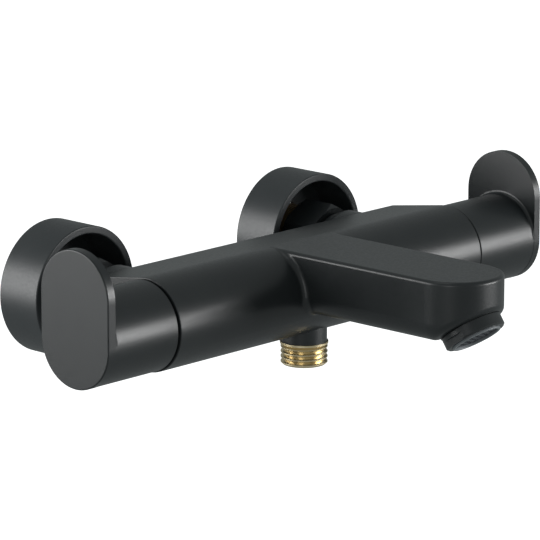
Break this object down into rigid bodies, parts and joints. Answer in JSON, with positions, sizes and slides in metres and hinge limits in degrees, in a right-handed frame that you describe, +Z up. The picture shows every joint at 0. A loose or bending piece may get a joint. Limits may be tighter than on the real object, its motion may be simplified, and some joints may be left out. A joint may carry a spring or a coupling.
{
  "type": "wall mounted bath faucet",
  "caption": "Round-bodied wall faucet for a bath: straight spout, shower outlet below, a flat-plate lever at each end and deep round wall rosettes.",
  "frame": {"origin": "on the finished wall face, midway between the two wall threads and level with the body's axis", "axes": "+X to the right seen from the front, the cold side; +Y into the wall; +Z up; the spout points along -Y"},
  "size_m": [0.2806, 0.2103, 0.0754],
  "materials": {
    "black_coat": "matte, very fine texture",
    "black_plastic": "matte",
    "grey_plastic": "satin",
    "white_plastic": "satin",
    "brass": "machined",
    "copper": "drawn",
    "stainless": "brushed",
    "rubber": "matte",
    "ceramic": "lapped"
  },
  "bodies": {
    "valve": {"body": "black_coat", "shower_outlet": "brass", "outlet_oring": "rubber", "outlet_check_cage": "white_plastic", "flow_cartridge_housing": "brass", "flow_cartridge_orings": "rubber", "flow_base_seal": "rubber", "flow_fixed_disc": "ceramic", "flow_retaining_nut": "brass", "flow_stop_ring": "black_plastic", "thermostat_housing": "black_plastic", "thermostat_orings": "rubber", "thermostat_return_spring": "stainless", "temperature_retaining_nut": "brass", "temperature_stop_ring": "black_plastic", "hot_inlet_tail": "brass", "cold_inlet_tail": "brass", "hot_check_cage": "white_plastic", "cold_check_cage": "white_plastic", "hot_strainer_seal": "rubber", "cold_strainer_seal": "rubber", "hot_wall_union": "brass", "cold_wall_union": "brass"},
    "flow_control": {"flow_handle": "black_coat", "flow_adapter": "black_plastic", "flow_adapter_screw": "stainless", "flow_grub_screw": "stainless", "flow_spindle": "brass", "flow_moving_disc": "ceramic"},
    "temperature_control": {"temperature_handle": "black_coat", "temperature_adapter": "black_plastic", "temperature_adapter_screw": "stainless", "temperature_grub_screw": "stainless", "thermostat_spindle": "brass"},
    "thermostat": {"thermostat_push_nut": "brass", "thermostat_overtravel_spring": "stainless", "wax_element": "copper", "thermostat_shuttle": "white_plastic"},
    "aerator": {"aerator_housing": "black_coat", "aerator_insert": "grey_plastic", "aerator_mesh": "stainless", "aerator_seal": "rubber"},
    "hot_nut": {"hot_union_nut": "black_coat"},
    "cold_nut": {"cold_union_nut": "black_coat"},
    "hot_cover": {"hot_rosette": "black_coat", "hot_rosette_oring": "rubber"},
    "cold_cover": {"cold_rosette": "black_coat", "cold_rosette_oring": "rubber"},
    "hot_poppet": {"hot_check_poppet": "white_plastic"},
    "cold_poppet": {"cold_check_poppet": "white_plastic"},
    "outlet_poppet": {"outlet_check_poppet": "white_plastic"}
  },
  "joints": [
    {"name": "flow_turn", "type": "hinge", "parent": "valve", "child": "flow_control", "pos_m": [0, -0.083, 0], "axis": [1, 0, 0], "range_deg": [-90, 90]},
    {"name": "temperature_turn", "type": "hinge", "parent": "valve", "child": "temperature_control", "pos_m": [0, -0.083, 0], "axis": [1, 0, 0], "range_deg": [-120, 75]},
    {"name": "thermostat_feed", "type": "slide", "parent": "valve", "child": "thermostat", "axis": [1, 0, 0], "range_m": [-0.0011, 0.0007]},
    {"name": "aerator_unscrew", "type": "hinge", "parent": "valve", "child": "aerator", "pos_m": [0, -0.1804, -0.0016], "axis": [0, -0.5736, -0.8192], "continuous": true},
    {"name": "hot_nut_turn", "type": "hinge", "parent": "valve", "child": "hot_nut", "pos_m": [-0.075, 0, 0], "axis": [0, 1, 0], "continuous": true},
    {"name": "cold_nut_turn", "type": "hinge", "parent": "valve", "child": "cold_nut", "pos_m": [0.075, 0, 0], "axis": [0, 1, 0], "continuous": true},
    {"name": "hot_cover_slide", "type": "slide", "parent": "valve", "child": "hot_cover", "axis": [0, -1, 0], "range_m": [0, 0.011]},
    {"name": "cold_cover_slide", "type": "slide", "parent": "valve", "child": "cold_cover", "axis": [0, -1, 0], "range_m": [0, 0.011]},
    {"name": "hot_check_lift", "type": "slide", "parent": "valve", "child": "hot_poppet", "axis": [0, -1, 0], "range_m": [0, 0.0025], "stiffness_N_per_m": 60, "springref_m": -0.003},
    {"name": "cold_check_lift", "type": "slide", "parent": "valve", "child": "cold_poppet", "axis": [0, -1, 0], "range_m": [0, 0.0025], "stiffness_N_per_m": 60, "springref_m": -0.003},
    {"name": "outlet_check_lift", "type": "slide", "parent": "valve", "child": "outlet_poppet", "axis": [0, 0, -1], "range_m": [0, 0.0025], "stiffness_N_per_m": 60, "springref_m": -0.003}
  ],
  "couplings": [
    {"joint": "thermostat_feed", "follows": "temperature_turn", "m_per_rad": 0.0005}
  ]
}
